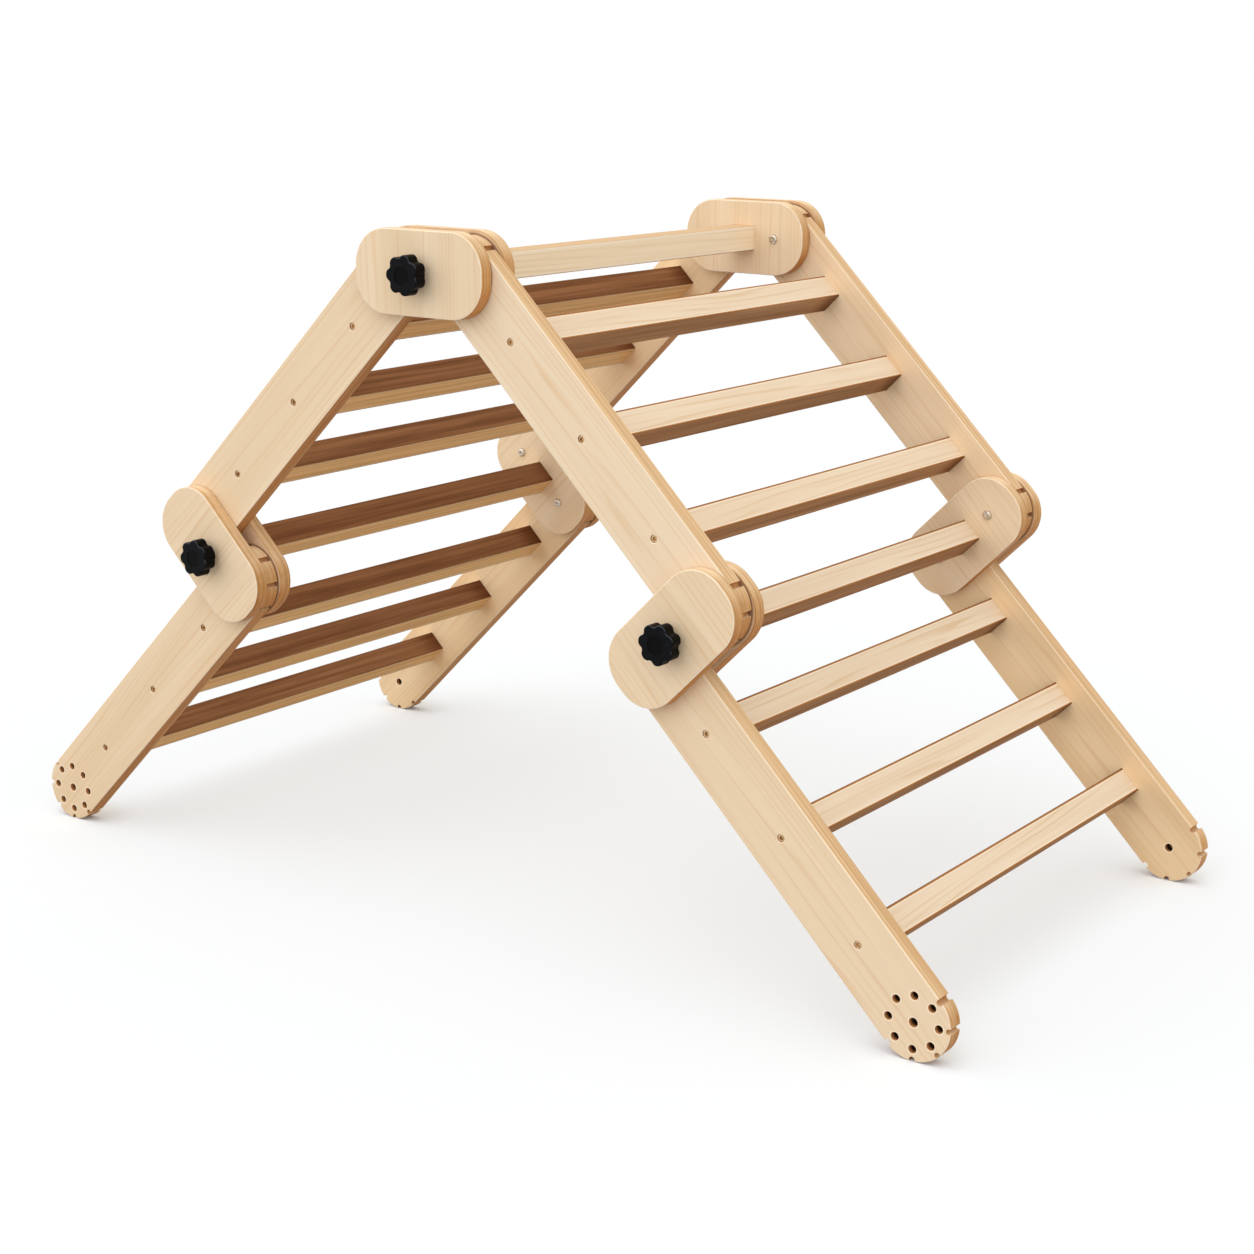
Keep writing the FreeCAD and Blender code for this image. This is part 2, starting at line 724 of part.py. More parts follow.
# Every object is sound and every cut takes something away before anything is written
doc.recompute()
for item in doc.Objects:
    if "Invalid" in item.State or "Error" in item.State:
        raise RuntimeError(f"{item.Label} failed: {item.State}")
    if item.TypeId in ("PartDesign::Pocket", "PartDesign::Hole"):
        if item.Shape.Volume >= item.BaseFeature.Shape.Volume:
            raise RuntimeError(f"{item.Label} cuts nothing")
for node in nodes:
    if node.Shape.isNull() or not node.Shape.isValid():
        raise RuntimeError(f"{node.Label} has no valid shape")
os.makedirs("parts", exist_ok=True)
for node in nodes:
    node.Shape.exportStep(f"parts/{node.Label}.step")
print(f"{len(nodes)} sub-parts, {sum(len(node.Shape.Solids) for node in nodes)} solids")
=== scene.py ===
"""Folding climbing frame for children: the finish of its boards, rungs, knobs and hardware.

Lengths are in metres.
"""
import bpy
import json
import math
from mathutils import Euler, Matrix, Vector


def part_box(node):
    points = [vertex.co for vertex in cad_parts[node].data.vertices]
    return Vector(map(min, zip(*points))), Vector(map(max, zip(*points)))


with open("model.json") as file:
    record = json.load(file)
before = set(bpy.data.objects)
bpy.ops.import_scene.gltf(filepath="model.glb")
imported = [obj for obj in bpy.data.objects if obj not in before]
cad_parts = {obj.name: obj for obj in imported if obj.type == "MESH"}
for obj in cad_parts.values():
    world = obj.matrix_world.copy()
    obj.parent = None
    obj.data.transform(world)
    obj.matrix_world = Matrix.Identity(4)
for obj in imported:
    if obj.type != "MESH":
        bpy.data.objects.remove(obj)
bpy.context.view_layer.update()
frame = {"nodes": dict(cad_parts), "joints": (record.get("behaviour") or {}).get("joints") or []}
nodes = frame["nodes"]
bpy.ops.object.select_all(action="DESELECT")


# Rails. Each ladder section has two round-ended boards of pale maple, planed, sanded to a soft
# round at their edges and finished in clear satin lacquer. Pivot bores, index holes and rim
# notches are machined into their ends.
def paint(red, green, blue):
    """A colour as the eye sees it, 0 to 255 in sRGB, as linear light."""
    shares = [part / 255 for part in (red, green, blue)]
    linear = [s / 12.92 if s <= 0.04045 else ((s + 0.055) / 1.055) ** 2.4 for s in shares]
    return (*linear, 1.0)


def set_inputs(tree, node, inputs):
    """A node's inputs, as values or as sockets of other nodes."""
    for name, value in inputs.items():
        if isinstance(value, bpy.types.NodeSocket):
            tree.links.new(value, node.inputs[name])
        else:
            node.inputs[name].default_value = value


def add_node(tree, kind, inputs=None, **settings):
    """A node with its settings and its inputs."""
    node = tree.nodes.new(f"ShaderNode{kind}")
    for name, value in settings.items():
        setattr(node, name, value)
    set_inputs(tree, node, inputs or {})
    return node


def add_math(tree, operation, *values, clamp=False):
    """A number worked out from other numbers."""
    inputs = dict(enumerate(values))
    return add_node(tree, "Math", inputs, operation=operation, use_clamp=clamp).outputs[0]


def add_product(tree, first, *others):
    """Masks and shares multiplied together."""
    for other in others:
        first = add_math(tree, "MULTIPLY", first, other)
    return first


def add_vector(tree, operation, *vectors):
    """A vector worked out from other vectors."""
    inputs = dict(enumerate(vectors))
    return add_node(tree, "VectorMath", inputs, operation=operation).outputs["Vector"]


def add_measure(tree, operation, *vectors):
    """A number worked out from vectors, such as a length or a distance."""
    inputs = dict(enumerate(vectors))
    return add_node(tree, "VectorMath", inputs, operation=operation).outputs["Value"]


def add_axis(tree, vector, axis):
    """One part of a vector: X, Y or Z."""
    return add_node(tree, "SeparateXYZ", {0: vector}).outputs[axis]


def add_noise(tree, position, grain, detail, roughness=0.5, distortion=0.0):
    """Noise with a number of patches to the metre along each axis."""
    inputs = {
        "Vector": add_vector(tree, "MULTIPLY", position, grain),
        "Scale": 1.0,
        "Detail": detail,
        "Roughness": roughness,
        "Distortion": distortion,
    }
    return add_node(tree, "TexNoise", inputs).outputs[0]


def add_step(tree, value, low, high):
    """A soft step from 0 to 1 as a value goes from low to high."""
    inputs = {"Value": value, "From Min": low, "From Max": high}
    return add_node(tree, "MapRange", inputs, interpolation_type="SMOOTHSTEP").outputs[0]


def add_range(tree, share, low, high):
    """A value that goes from low to high as a share goes from 0 to 1."""
    inputs = {"Value": share, "To Min": low, "To Max": high}
    return add_node(tree, "MapRange", inputs).outputs[0]


def add_blend(tree, share, first, second, kind="MIX"):
    """Two colours mixed by a share. The Mix node takes colours at 6 and 7 and gives one at 2."""
    inputs = {0: share, 6: first, 7: second}
    return add_node(tree, "Mix", inputs, data_type="RGBA", blend_type=kind).outputs[2]


def add_bump(tree, height, strength, depth, **more):
    """A surface's normal, bent by a height."""
    inputs = {"Height": height, "Strength": strength, "Distance": depth, **more}
    return add_node(tree, "Bump", inputs).outputs[0]


def new_group(name, takes):
    """A node group with named inputs, and the sockets that they come in by."""
    group = bpy.data.node_groups.new(name, "ShaderNodeTree")
    for socket, kind in takes.items():
        group.interface.new_socket(socket, in_out="INPUT", socket_type=f"NodeSocket{kind}")
    return group, group.nodes.new("NodeGroupInput").outputs


def give_out(group, masks):
    """The named masks that a node group puts out."""
    for name in masks:
        group.interface.new_socket(name, in_out="OUTPUT", socket_type="NodeSocketFloat")
    set_inputs(group, group.nodes.new("NodeGroupOutput"), masks)


# Patches of the figure to the metre: along the grain, through the board and across it
swell_grain = (1.1, 14.0, 14.0)
ripple_grain = (2.4, 70.0, 70.0)
fade_grain = (5.0, 110.0, 110.0)
cloud_grain = (1.3, 22.0, 22.0)
streak_grain = (3.0, 130.0, 130.0)
layer_grain = (3.0, 420.0, 3.0)
fibre_grain = (14.0, 800.0, 800.0)
rings_per_metre = 150.0
swell_rings = 9.0
ripple_rings = 2.2
line_start = 0.52
line_peak = 0.9
fade_ends = (0.3, 0.7)


def make_wood_figure():
    """Figure of a sawn board whose first axis runs along the grain.

    The growth rings are counted across the board, and a swell and a ripple bend them.
    """
    group, given = new_group("wood_figure", {"Position": "Vector", "Rings": "Float"})
    position = given["Position"]
    swell = add_noise(group, position, swell_grain, detail=2.0, roughness=0.4, distortion=0.2)
    ripple = add_noise(group, position, ripple_grain, detail=1.0)
    bend = add_product(group, ripple, ripple_rings)
    bend = add_math(group, "MULTIPLY_ADD", swell, swell_rings, bend)
    across = add_axis(group, position, "Z")
    rings = add_math(group, "MULTIPLY_ADD", across, given["Rings"], bend)
    phase = add_math(group, "FRACT", rings)
    rise = add_step(group, phase, line_start, line_peak)
    fall = add_step(group, phase, 1.0, line_peak)
    fade = add_noise(group, position, fade_grain, detail=1.0)
    fade = add_step(group, fade, *fade_ends)
    give_out(group, {
        "Line": add_product(group, rise, fall, fade),
        "Cloud": add_noise(group, position, cloud_grain, detail=2.0),
        "Streak": add_noise(group, position, streak_grain, detail=3.0, roughness=0.6),
        "Layer": add_noise(group, position, layer_grain, detail=2.0, roughness=0.6),
        "Fibre": add_noise(group, position, fibre_grain, detail=2.0, roughness=0.6),
    })
    return group


wood_figure = make_wood_figure()


def new_material(name):
    """A material with a Principled shader, its tree and the shader."""
    material = bpy.data.materials.new(name)
    material.use_nodes = True
    tree = material.node_tree
    return material, tree, tree.nodes["Principled BSDF"]


def add_figure(tree, turn):
    """A place, its normal, and the figure of a wood whose grain a turn brings onto the first axis."""
    given = add_node(tree, "TexCoord").outputs
    grain = add_node(tree, "Mapping", {"Vector": given["Object"], "Rotation": turn}).outputs[0]
    inputs = {"Position": grain, "Rings": rings_per_metre}
    figure = add_node(tree, "Group", inputs, node_tree=wood_figure).outputs
    return given["Object"], given["Normal"], figure


fibre_ends = (0.3, 0.7)
line_height = -0.6
grain_bump = 0.12
grain_depth = 0.0004


def add_lacquer(tree, shader, colour, figure, sheen, shine, bare=0.0):
    """Satin lacquer over a wood's colour: it is roughest where the fibres stand open.

    Its sheen is the roughness of closed and of open fibres, its shine how strongly it reflects.
    Where the wood is bare, as in a drilled hole, it doesn't shine.
    """
    fibre = add_step(tree, figure["Fibre"], *fibre_ends)
    rough = add_range(tree, fibre, *sheen)
    height = add_math(tree, "MULTIPLY_ADD", figure["Line"], line_height, figure["Fibre"])
    set_inputs(tree, shader, {
        "Base Color": colour,
        "Roughness": add_math(tree, "MAXIMUM", rough, bare),
        "Specular IOR Level": shine,
        "Normal": add_bump(tree, height, grain_bump, grain_depth),
    })


eighth_turn = math.radians(45)
rail_low, rail_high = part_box("right_lower_near_rail")
rail_outside = -rail_low.y
rail_inside = -rail_high.y
rail_radius = 0.038
foot_centre = (rail_high.x - rail_radius, 0, rail_low.z + rail_radius)
clamped_reach = 0.04
bore_radius = 0.0045
index_radius = 0.004
index_ring = 0.026
bored_reach = index_ring + index_radius
bore_skin = 0.0004
bore_lit = 0.0012
bore_deep = 0.0084
mouth_width = 0.0018
notch_bottom = 0.0332
notch_mouth = 0.037
right_hinges = ("right_upper_hinge", "right_mid_hinge", "right_lower_hinge")
pivots = [joint["pos_m"] for joint in frame["joints"] if joint["name"] in right_hinges]


def add_side_view(tree, place):
    """A place seen from the side: its part along the rungs is left out."""
    return add_vector(tree, "MULTIPLY", place, (1, 0, 1))


def add_pivot_reach(tree, mirrored):
    """Distance to the nearest pivot of a clamped rail end, from a place brought to the right half."""
    upright = add_side_view(tree, mirrored)
    reaches = [add_measure(tree, "DISTANCE", upright, pivot) for pivot in pivots]
    nearest = reaches[0]
    for reach in reaches[1:]:
        nearest = add_math(tree, "MINIMUM", nearest, reach)
    return nearest


def make_rail_ends():
    """Masks at the ends of a rail.

    At the free ends they are the walls of the bores, painted shade that deepens into them and a
    painted highlight round their mouths, and at all ends painted shade that deepens into the rim
    notches. The last one says which ends are clamped.
    """
    group, given = new_group("rail_ends", {"Position": "Vector"})
    mirrored = add_vector(group, "ABSOLUTE", given["Position"])
    upright = add_side_view(group, mirrored)
    offset = add_vector(group, "SUBTRACT", upright, foot_centre)
    reach = add_measure(group, "LENGTH", offset)
    pivot_reach = add_pivot_reach(group, mirrored)

    # The eight index holes are brought onto one; they open on the outer face alone
    angle = add_math(group, "ARCTAN2", add_axis(group, offset, "Z"), add_axis(group, offset, "X"))
    nearest = add_math(group, "ADD", angle, eighth_turn / 2)
    nearest = add_math(group, "SNAP", nearest, eighth_turn)
    angle = add_math(group, "SUBTRACT", angle, nearest)
    along = add_product(group, reach, add_math(group, "COSINE", angle))
    along = add_math(group, "SUBTRACT", along, index_ring)
    across = add_product(group, reach, add_math(group, "SINE", angle))
    index = add_node(group, "CombineXYZ", {0: along, 1: across}).outputs[0]
    index = add_measure(group, "LENGTH", index)
    index = add_math(group, "SUBTRACT", index, index_radius)
    level = add_axis(group, mirrored, "Y")
    index = add_math(group, "ADD", index, add_step(group, level, rail_outside, rail_inside))
    bore = add_math(group, "SUBTRACT", reach, bore_radius)
    rim = add_math(group, "MINIMUM", index, bore)

    below = add_math(group, "SUBTRACT", rail_outside, level)
    above = add_math(group, "SUBTRACT", level, rail_inside)
    depth = add_math(group, "MINIMUM", below, above)
    sunk = add_step(group, depth, bore_skin / 2, bore_skin)
    bored = add_step(group, reach, bored_reach + mouth_width, bored_reach)
    cut = add_math(group, "MINIMUM", reach, pivot_reach)
    cut = add_step(group, cut, notch_mouth, notch_bottom)
    cut = add_math(group, "SUBTRACT", cut, bored)
    give_out(group, {
        "Wall": add_product(group, bored, sunk),
        "Depth": add_product(group, bored, add_step(group, depth, bore_lit, bore_deep)),
        "MouthHighlight": add_step(group, rim, mouth_width, mouth_width / 2),
        "NotchShade": add_math(group, "MULTIPLY", cut, sunk, clamp=True),
        "Clamped": add_step(group, pivot_reach, clamped_reach, rail_radius),
    })
    return group


rail_ends = make_rail_ends()


def add_facing(tree, normal):
    """How far a surface faces along the rungs, either way."""
    return add_math(tree, "ABSOLUTE", add_axis(tree, normal, "Y"))


def add_outwards(tree, place, normal):
    """How far a surface faces along the rungs and out of the frame."""
    side = add_math(tree, "SIGN", add_axis(tree, place, "Y"))
    return add_product(tree, add_axis(tree, normal, "Y"), side)


outer_pale = paint(236, 213, 182)
outer_warm = paint(229, 203, 168)
# Warmer tones for faces turned into the frame, a painted warm shade
inner_shade_pale = paint(243, 214, 173)
inner_shade_warm = paint(235, 200, 156)
# A pale tone that faces are painted towards as painted light
painted_light_tone = paint(248, 236, 218)
face_line = paint(219, 172, 117)
# Edge tones: painted light on edges that face up, painted shade on edges that face down
top_edge_lit = paint(246, 220, 184)
upper_edge_lit = paint(226, 193, 150)
side_edge = paint(210, 162, 106)
under_edge_shaded = paint(206, 144, 83)
edge_layer = paint(230, 216, 199)
# Painted highlight on the rounded edges
round_highlight_tone = paint(254, 243, 226)
# Starts and ends of soft steps: over a noise, over how far a surface faces along the rungs or
# inwards (a turn), and over how far it faces up (a rise)
cloud_ends = (0.3, 0.7)
streak_ends = (0.35, 0.65)
layer_ends = (0.38, 0.66)
inside_turn = (0.5, -0.5)
side_rise = (-0.5, 0.15)
upper_rise = (0.2, 0.75)
top_rise = (0.75, 1.0)
face_turn = (0.35, 0.75)
round_start = (0.45, 0.8)
round_end = (0.995, 0.85)
face_line_share = 0.4
edge_streak_share = 0.12
round_highlight_share = 0.8
streak_tones = (0.955, 1.045)


def add_board_colour(tree, place, normal, figure, painted_light, inner_shade_share, highlit=1.0, covered=0.0):
    """Maple with cream faces and tan edges, with painted light and shade.

    The edges are painted paler where they face up and deeper where they face down. The faces take a
    share of painted light towards a pale tone, and a share of painted warm shade towards the inside.
    Two more shares say where the rounded edges are in the open and get a painted pale highlight, and
    where a face lies against another board and is painted tan as shade.
    """
    cloud = add_step(tree, figure["Cloud"], *cloud_ends)
    outer = add_blend(tree, cloud, outer_pale, outer_warm)
    inner = add_blend(tree, cloud, inner_shade_pale, inner_shade_warm)
    # Painted warm shade: faces that turn into the frame take the warmer tones
    inside = add_step(tree, add_outwards(tree, place, normal), *inside_turn)
    face = add_blend(tree, add_product(tree, inside, inner_shade_share), outer, inner)
    # Painted light: a share of the face is painted paler
    face = add_blend(tree, painted_light, face, painted_light_tone)
    face = add_blend(tree, add_product(tree, figure["Line"], face_line_share), face, face_line)

    # Painted light and shade: edges are paler the more they face up and deeper the more they face
    # down
    rise = add_axis(tree, normal, "Z")
    edge = add_blend(tree, add_step(tree, rise, *side_rise), under_edge_shaded, side_edge)
    edge = add_blend(tree, add_step(tree, rise, *upper_rise), edge, upper_edge_lit)
    edge = add_blend(tree, add_step(tree, rise, *top_rise), edge, top_edge_lit)
    layer = add_step(tree, figure["Layer"], *layer_ends)
    edge = add_blend(tree, layer, edge, edge_layer, "MULTIPLY")
    streak = add_step(tree, figure["Streak"], *streak_ends)
    edge = add_blend(tree, add_product(tree, streak, edge_streak_share), edge, outer_pale)

    facing = add_math(tree, "SUBTRACT", add_facing(tree, normal), covered)
    colour = add_blend(tree, add_step(tree, facing, *face_turn), edge, face)
    # Painted highlight: rounded edges in the open are painted pale
    round_highlight = add_step(tree, facing, *round_start)
    round_highlight = add_product(tree, round_highlight, add_step(tree, facing, *round_end), round_highlight_share, highlit)
    colour = add_blend(tree, round_highlight, colour, round_highlight_tone)
    return add_blend(tree, 1.0, colour, add_range(tree, figure["Streak"], *streak_tones), "MULTIPLY")


bore_wall = paint(208, 150, 94)
bore_depth_shade = paint(34, 18, 8)
mouth_highlight = paint(252, 236, 212)
notch_shade = paint(166, 113, 68)
seam_shade = paint(120, 74, 40)
rail_seam_turn = (0.25, 0.6)
rail_seam_share = 0.7
mouth_highlight_share = 0.7
notch_share = 0.5
board_sheen = (0.5, 0.64)
board_shine = 0.12


def make_rail(name, turn, painted_light):
    """Board with a painted highlight round the mouths of its free bores, painted shade in their
    depths and rim notches, and a painted shade line at the seam of a clamped end.
    """
    material, tree, shader = new_material(name)
    place, normal, figure = add_figure(tree, (0, turn, 0))
    ends = add_node(tree, "Group", {"Position": place}, node_tree=rail_ends).outputs
    # No painted highlight on the rounded edges of a clamped end, where they run into the seam
    highlit = add_math(tree, "SUBTRACT", 1.0, ends["Clamped"])
    colour = add_board_colour(tree, place, normal, figure, painted_light, inner_shade_share=1.0, highlit=highlit)
    # Painted shade along the seam where a clamped rail end meets its plates
    seam = add_step(tree, add_facing(tree, normal), *rail_seam_turn)
    seam = add_product(tree, ends["Clamped"], seam, rail_seam_share)
    colour = add_blend(tree, seam, colour, seam_shade)
    # Painted highlight round the mouths of the free bores
    colour = add_blend(tree, add_product(tree, ends["MouthHighlight"], mouth_highlight_share), colour, mouth_highlight)
    colour = add_blend(tree, ends["Wall"], colour, bore_wall)
    # Painted shade that deepens into the bores
    colour = add_blend(tree, ends["Depth"], colour, bore_depth_shade)
    # Painted shade that deepens into the rim notches
    colour = add_blend(tree, add_product(tree, ends["NotchShade"], notch_share), colour, notch_shade)
    add_lacquer(tree, shader, colour, figure, board_sheen, board_shine, ends["Wall"])
    return material


# The upper rails, the right one most, get painted light on their faces
rail_finish = {
    "right_upper": make_rail("rail_right_upper", turn=-eighth_turn, painted_light=0.28),
    "right_lower": make_rail("rail_right_lower", turn=-eighth_turn, painted_light=0.0),
    "left_upper": make_rail("rail_left_upper", turn=eighth_turn, painted_light=0.06),
    "left_lower": make_rail("rail_left_lower", turn=eighth_turn, painted_light=0.0),
}
for name, node in nodes.items():
    if name.endswith("_rail"):
        node.material_slots[0].material = rail_finish["_".join(name.split("_")[:2])]


# Rungs. A square bar of maple with its front and back left pale and its other two sides stained
# dark, let into housings in the rails and held by screws. Each station has a like bar between its
# inner plates; the top one is left unstained.
rung_pale = paint(233, 214, 190)
rung_warm = paint(223, 199, 169)
top_pale = paint(254, 236, 207)
top_warm = paint(246, 221, 184)
top_side_lit = paint(216, 184, 146)
rung_inner_shade = paint(251, 204, 145)
rung_inner_shade_line = paint(222, 170, 111)
rung_line = paint(214, 182, 140)
rung_highlight = paint(253, 241, 222)
rung_dark = paint(157, 110, 75)
rung_deep = paint(114, 73, 46)
rung_end_shade = paint(88, 46, 20)
under_lit_dark = paint(196, 150, 110)
under_lit_deep = paint(160, 115, 78)
rung_border = paint(180, 127, 74)
rung_streak_ends = (0.32, 0.68)
stain_fibre_ends = (0.35, 0.65)
inward_turn = (0.3, 0.6)
under_rise = (0.1, -0.5)
rung_streak_share = 0.5
inner_shade_layer_share = 0.7
rung_highlight_share = 0.7
stain_fibre_share = 0.35
stain_layer_share = 0.35
stain_line_share = 0.4
end_shade_share = 0.7
rung_sheen = (0.6, 0.72)
rung_shine = 0.02
stain_lap = 0.0008
stain_blur = 0.0003
border_width = 0.0014
bright_width = 0.003
end_shade_reach = 0.045


def make_rung(name, bar, uphill, inward, uphill_lap, stain, shades, lines):
    """Two-tone bar: it is stained uphill and downhill, and its inner side is painted tan as shade.

    The stain laps over the pale faces, by a length of its own on the uphill side, with a painted
    highlight on the pale face beside it. The stain is painted lighter where it faces down, and darker
    as painted shade towards the rails. A bar with no stain has tan sides instead, painted paler on
    top and deeper underneath. Its shades are the two tones of its pale faces, and its lines say how
    strongly the figure shows there.
    """
    material, tree, shader = new_material(name)
    place, normal, figure = add_figure(tree, (0, 0, -2 * eighth_turn))
    heights = [vertex.co.dot(Vector(uphill)) for vertex in bar.data.vertices]
    height = add_measure(tree, "DOT_PRODUCT", place, uphill)
    above = add_math(tree, "SUBTRACT", height, min(heights) + stain_lap)
    below = add_math(tree, "SUBTRACT", max(heights) - uphill_lap, height)
    clear = add_math(tree, "MINIMUM", above, below)
    streak = add_step(tree, figure["Streak"], *rung_streak_ends)
    layer = add_step(tree, figure["Layer"], *layer_ends)

    pale = add_blend(tree, add_product(tree, streak, rung_streak_share), *shades)
    # Painted shade: the pale face turned inwards and down is painted tan
    tan = add_blend(tree, add_product(tree, layer, inner_shade_layer_share), rung_inner_shade, rung_inner_shade_line)
    inside = add_step(tree, add_measure(tree, "DOT_PRODUCT", normal, inward), *inward_turn)
    pale = add_blend(tree, inside, pale, tan)
    pale = add_blend(tree, add_product(tree, figure["Line"], lines), pale, rung_line)
    # Painted highlight on the pale face next to the stain
    bright = add_step(tree, clear, bright_width, border_width)
    pale = add_blend(tree, add_product(tree, bright, rung_highlight_share), pale, rung_highlight)

    # Painted light: the stain is painted lighter where it faces down
    under = add_step(tree, add_axis(tree, normal, "Z"), *under_rise)
    light = add_blend(tree, under, rung_dark, under_lit_dark)
    deep = add_blend(tree, under, rung_deep, under_lit_deep)
    dark = add_blend(tree, streak, deep, light)
    fibre = add_step(tree, figure["Fibre"], *stain_fibre_ends)
    dark = add_blend(tree, add_product(tree, fibre, stain_fibre_share), dark, light)
    dark = add_blend(tree, add_product(tree, layer, stain_layer_share), dark, deep)
    dark = add_blend(tree, add_product(tree, figure["Line"], stain_line_share), dark, deep)
    # Painted shade: the stain is painted darker towards the rails
    beside = add_math(tree, "ABSOLUTE", add_axis(tree, place, "Y"))
    end_shade = add_step(tree, beside, rail_inside - end_shade_reach, rail_inside)
    dark = add_blend(tree, add_product(tree, end_shade, end_shade_share), dark, rung_end_shade)
    # Painted light and shade: a bar with no stain is paler on its upper side and deeper underneath
    unstained = add_blend(tree, under, top_side_lit, side_edge)
    dark = add_blend(tree, stain, unstained, dark)

    border = add_step(tree, clear, border_width, border_width - stain_blur)
    colour = add_blend(tree, add_product(tree, border, stain), pale, rung_border)
    colour = add_blend(tree, add_step(tree, clear, stain_blur, -stain_blur), colour, dark)
    add_lacquer(tree, shader, colour, figure, rung_sheen, rung_shine)
    return material


slant = math.cos(eighth_turn)
rung_sides = {
    "right": {
        "uphill": (-slant, 0, slant),
        "inward": (-slant, 0, -slant),
        "uphill_lap": 0.0012,
        "stain": 1.0,
        "shades": (rung_pale, rung_warm),
        "lines": 0.6,
    },
    "left": {
        "uphill": (slant, 0, slant),
        "inward": (slant, 0, -slant),
        "uphill_lap": stain_lap,
        "stain": 1.0,
        "shades": (rung_pale, rung_warm),
        "lines": 0.6,
    },
    "top": {
        "uphill": (0, 0, 1),
        "inward": (0, 0, -1),
        "uphill_lap": stain_lap,
        "stain": 0.0,
        "shades": (top_pale, top_warm),
        "lines": 0.3,
    },
}
for name, node in nodes.items():
    if "rung" in name.split("_") and "screws" not in name and "inserts" not in name:
        node.material_slots[0].material = make_rung(name, node, **rung_sides[name.split("_")[0]])


# Plates. Two round-cornered maple boards, drawn together by a knob's stud, clamp each pair of rail
# ends. Their grain runs across them, so at the middle stations it follows the rails and at the top
# it stands upright.
seam_reach = 0.0016
seam_hidden = 0.004
seam_outside = 0.0405
contact_shade_share = 0.45
shown_turn = (0.2, 0.4)
edge_turn = (0.7, 0.3)
plate_seam_share = 0.75
# Plates get a little painted light on their faces and a little painted warm shade on their inner
# faces
plate_painted_light = 0.08
plate_inner_shade = 0.2


def make_plate(name, turn):
    """Board with a thin painted shade line along the seams where it meets the rails that it clamps.
    """
    material, tree, shader = new_material(name)
    place, normal, figure = add_figure(tree, (0, turn, 0))
    depth = add_math(tree, "ABSOLUTE", add_axis(tree, place, "Y"))
    outer_gap = add_math(tree, "ABSOLUTE", add_math(tree, "SUBTRACT", depth, rail_outside))
    inner_gap = add_math(tree, "ABSOLUTE", add_math(tree, "SUBTRACT", depth, rail_inside))
    gap = add_math(tree, "MINIMUM", outer_gap, inner_gap)
    covered = add_step(tree, gap, seam_reach, seam_reach / 2)
    # Painted shade: faces that lie against a rail are painted partly tan
    contact_shade = add_product(tree, covered, contact_shade_share)
    # The painted highlight shows on rounded edges that face out or lie clear of the seams
    outwards = add_step(tree, add_outwards(tree, place, normal), *shown_turn)
    highlit = add_math(tree, "MAXIMUM", add_step(tree, gap, seam_reach, seam_hidden), outwards)
    colour = add_board_colour(
        tree, place, normal, figure, plate_painted_light, plate_inner_shade, highlit=highlit, covered=contact_shade
    )
    # Painted shade: a thin line on the contact faces round the rail rims and along the plate's edges
    mirrored = add_vector(tree, "ABSOLUTE", place)
    ring = add_step(tree, add_pivot_reach(tree, mirrored), seam_outside, rail_radius)
    edge = add_step(tree, add_facing(tree, normal), *edge_turn)
    seam = add_math(tree, "MAXIMUM", ring, edge)
    seam = add_product(tree, covered, seam, plate_seam_share)
    colour = add_blend(tree, seam, colour, seam_shade)
    add_lacquer(tree, shader, colour, figure, board_sheen, board_shine)
    return material


plate_finish = {
    "right": make_plate("plate_right", turn=-eighth_turn),
    "left": make_plate("plate_left", turn=eighth_turn),
    "top": make_plate("plate_top", turn=2 * eighth_turn),
}
for name, node in nodes.items():
    if name.endswith("_plate"):
        node.material_slots[0].material = plate_finish[name.split("_")[0]]


# Hardware. Zinc-plated steel: button-head bolts and their sleeves at the pivots, the knobs' studs,
# the threaded inserts in the station rungs that take them, and socket-head screws sunk into the
# rails, dulled and tinted warm brown as a painted reflection of the wood round them. The studs'
# thread is rolled.
zinc_bright = paint(216, 206, 192)
zinc_film = paint(178, 164, 146)
# Warm brown screw tones, a painted reflection of the wood round the screws
reflected_wood_bright = paint(214, 182, 142)
reflected_wood_film = paint(170, 136, 98)
film_grain = (420, 420, 420)
film_ends = (0.35, 0.7)
film_dulling = 0.15
mark_grain = (900, 5000, 900)
mark_bump = 0.1
mark_depth = 0.0001
stud_pitch = 0.001
thread_bump = 0.8


def make_plating(name, bright, film, polish, pitch=0.0):
    """Plated steel with fine turning marks, a patchy film and, where it has a pitch, a thread."""
    material, tree, shader = new_material(name)
    position = add_node(tree, "TexCoord").outputs["Object"]
    patches = add_step(tree, add_noise(tree, position, film_grain, detail=3.0), *film_ends)
    marks = add_noise(tree, position, mark_grain, detail=2.0)
    bump = add_bump(tree, marks, mark_bump, mark_depth)
    if pitch:
        turns = add_product(tree, add_axis(tree, position, "Y"), 2 * math.pi / pitch)
        ridge = add_math(tree, "SINE", turns)
        bump = add_bump(tree, ridge, thread_bump, pitch / 4, Normal=bump)
    set_inputs(tree, shader, {
        "Base Color": add_blend(tree, patches, bright, film),
        "Metallic": 1.0,
        "Roughness": add_range(tree, patches, polish, polish + film_dulling),
        "Normal": bump,
    })
    return material


bright_plating = make_plating("bright_plating", zinc_bright, zinc_film, polish=0.2)
thread_plating = make_plating("thread_plating", zinc_bright, zinc_film, polish=0.28, pitch=stud_pitch)
dull_plating = make_plating("dull_plating", reflected_wood_bright, reflected_wood_film, polish=0.34)
for name, node in nodes.items():
    if name.endswith(("_bolts", "_sleeves", "_inserts")):
        node.material_slots[0].material = bright_plating
    if name.endswith("_stud"):
        node.material_slots[0].material = thread_plating
    if name.endswith("_screws"):
        node.material_slots[0].material = dull_plating


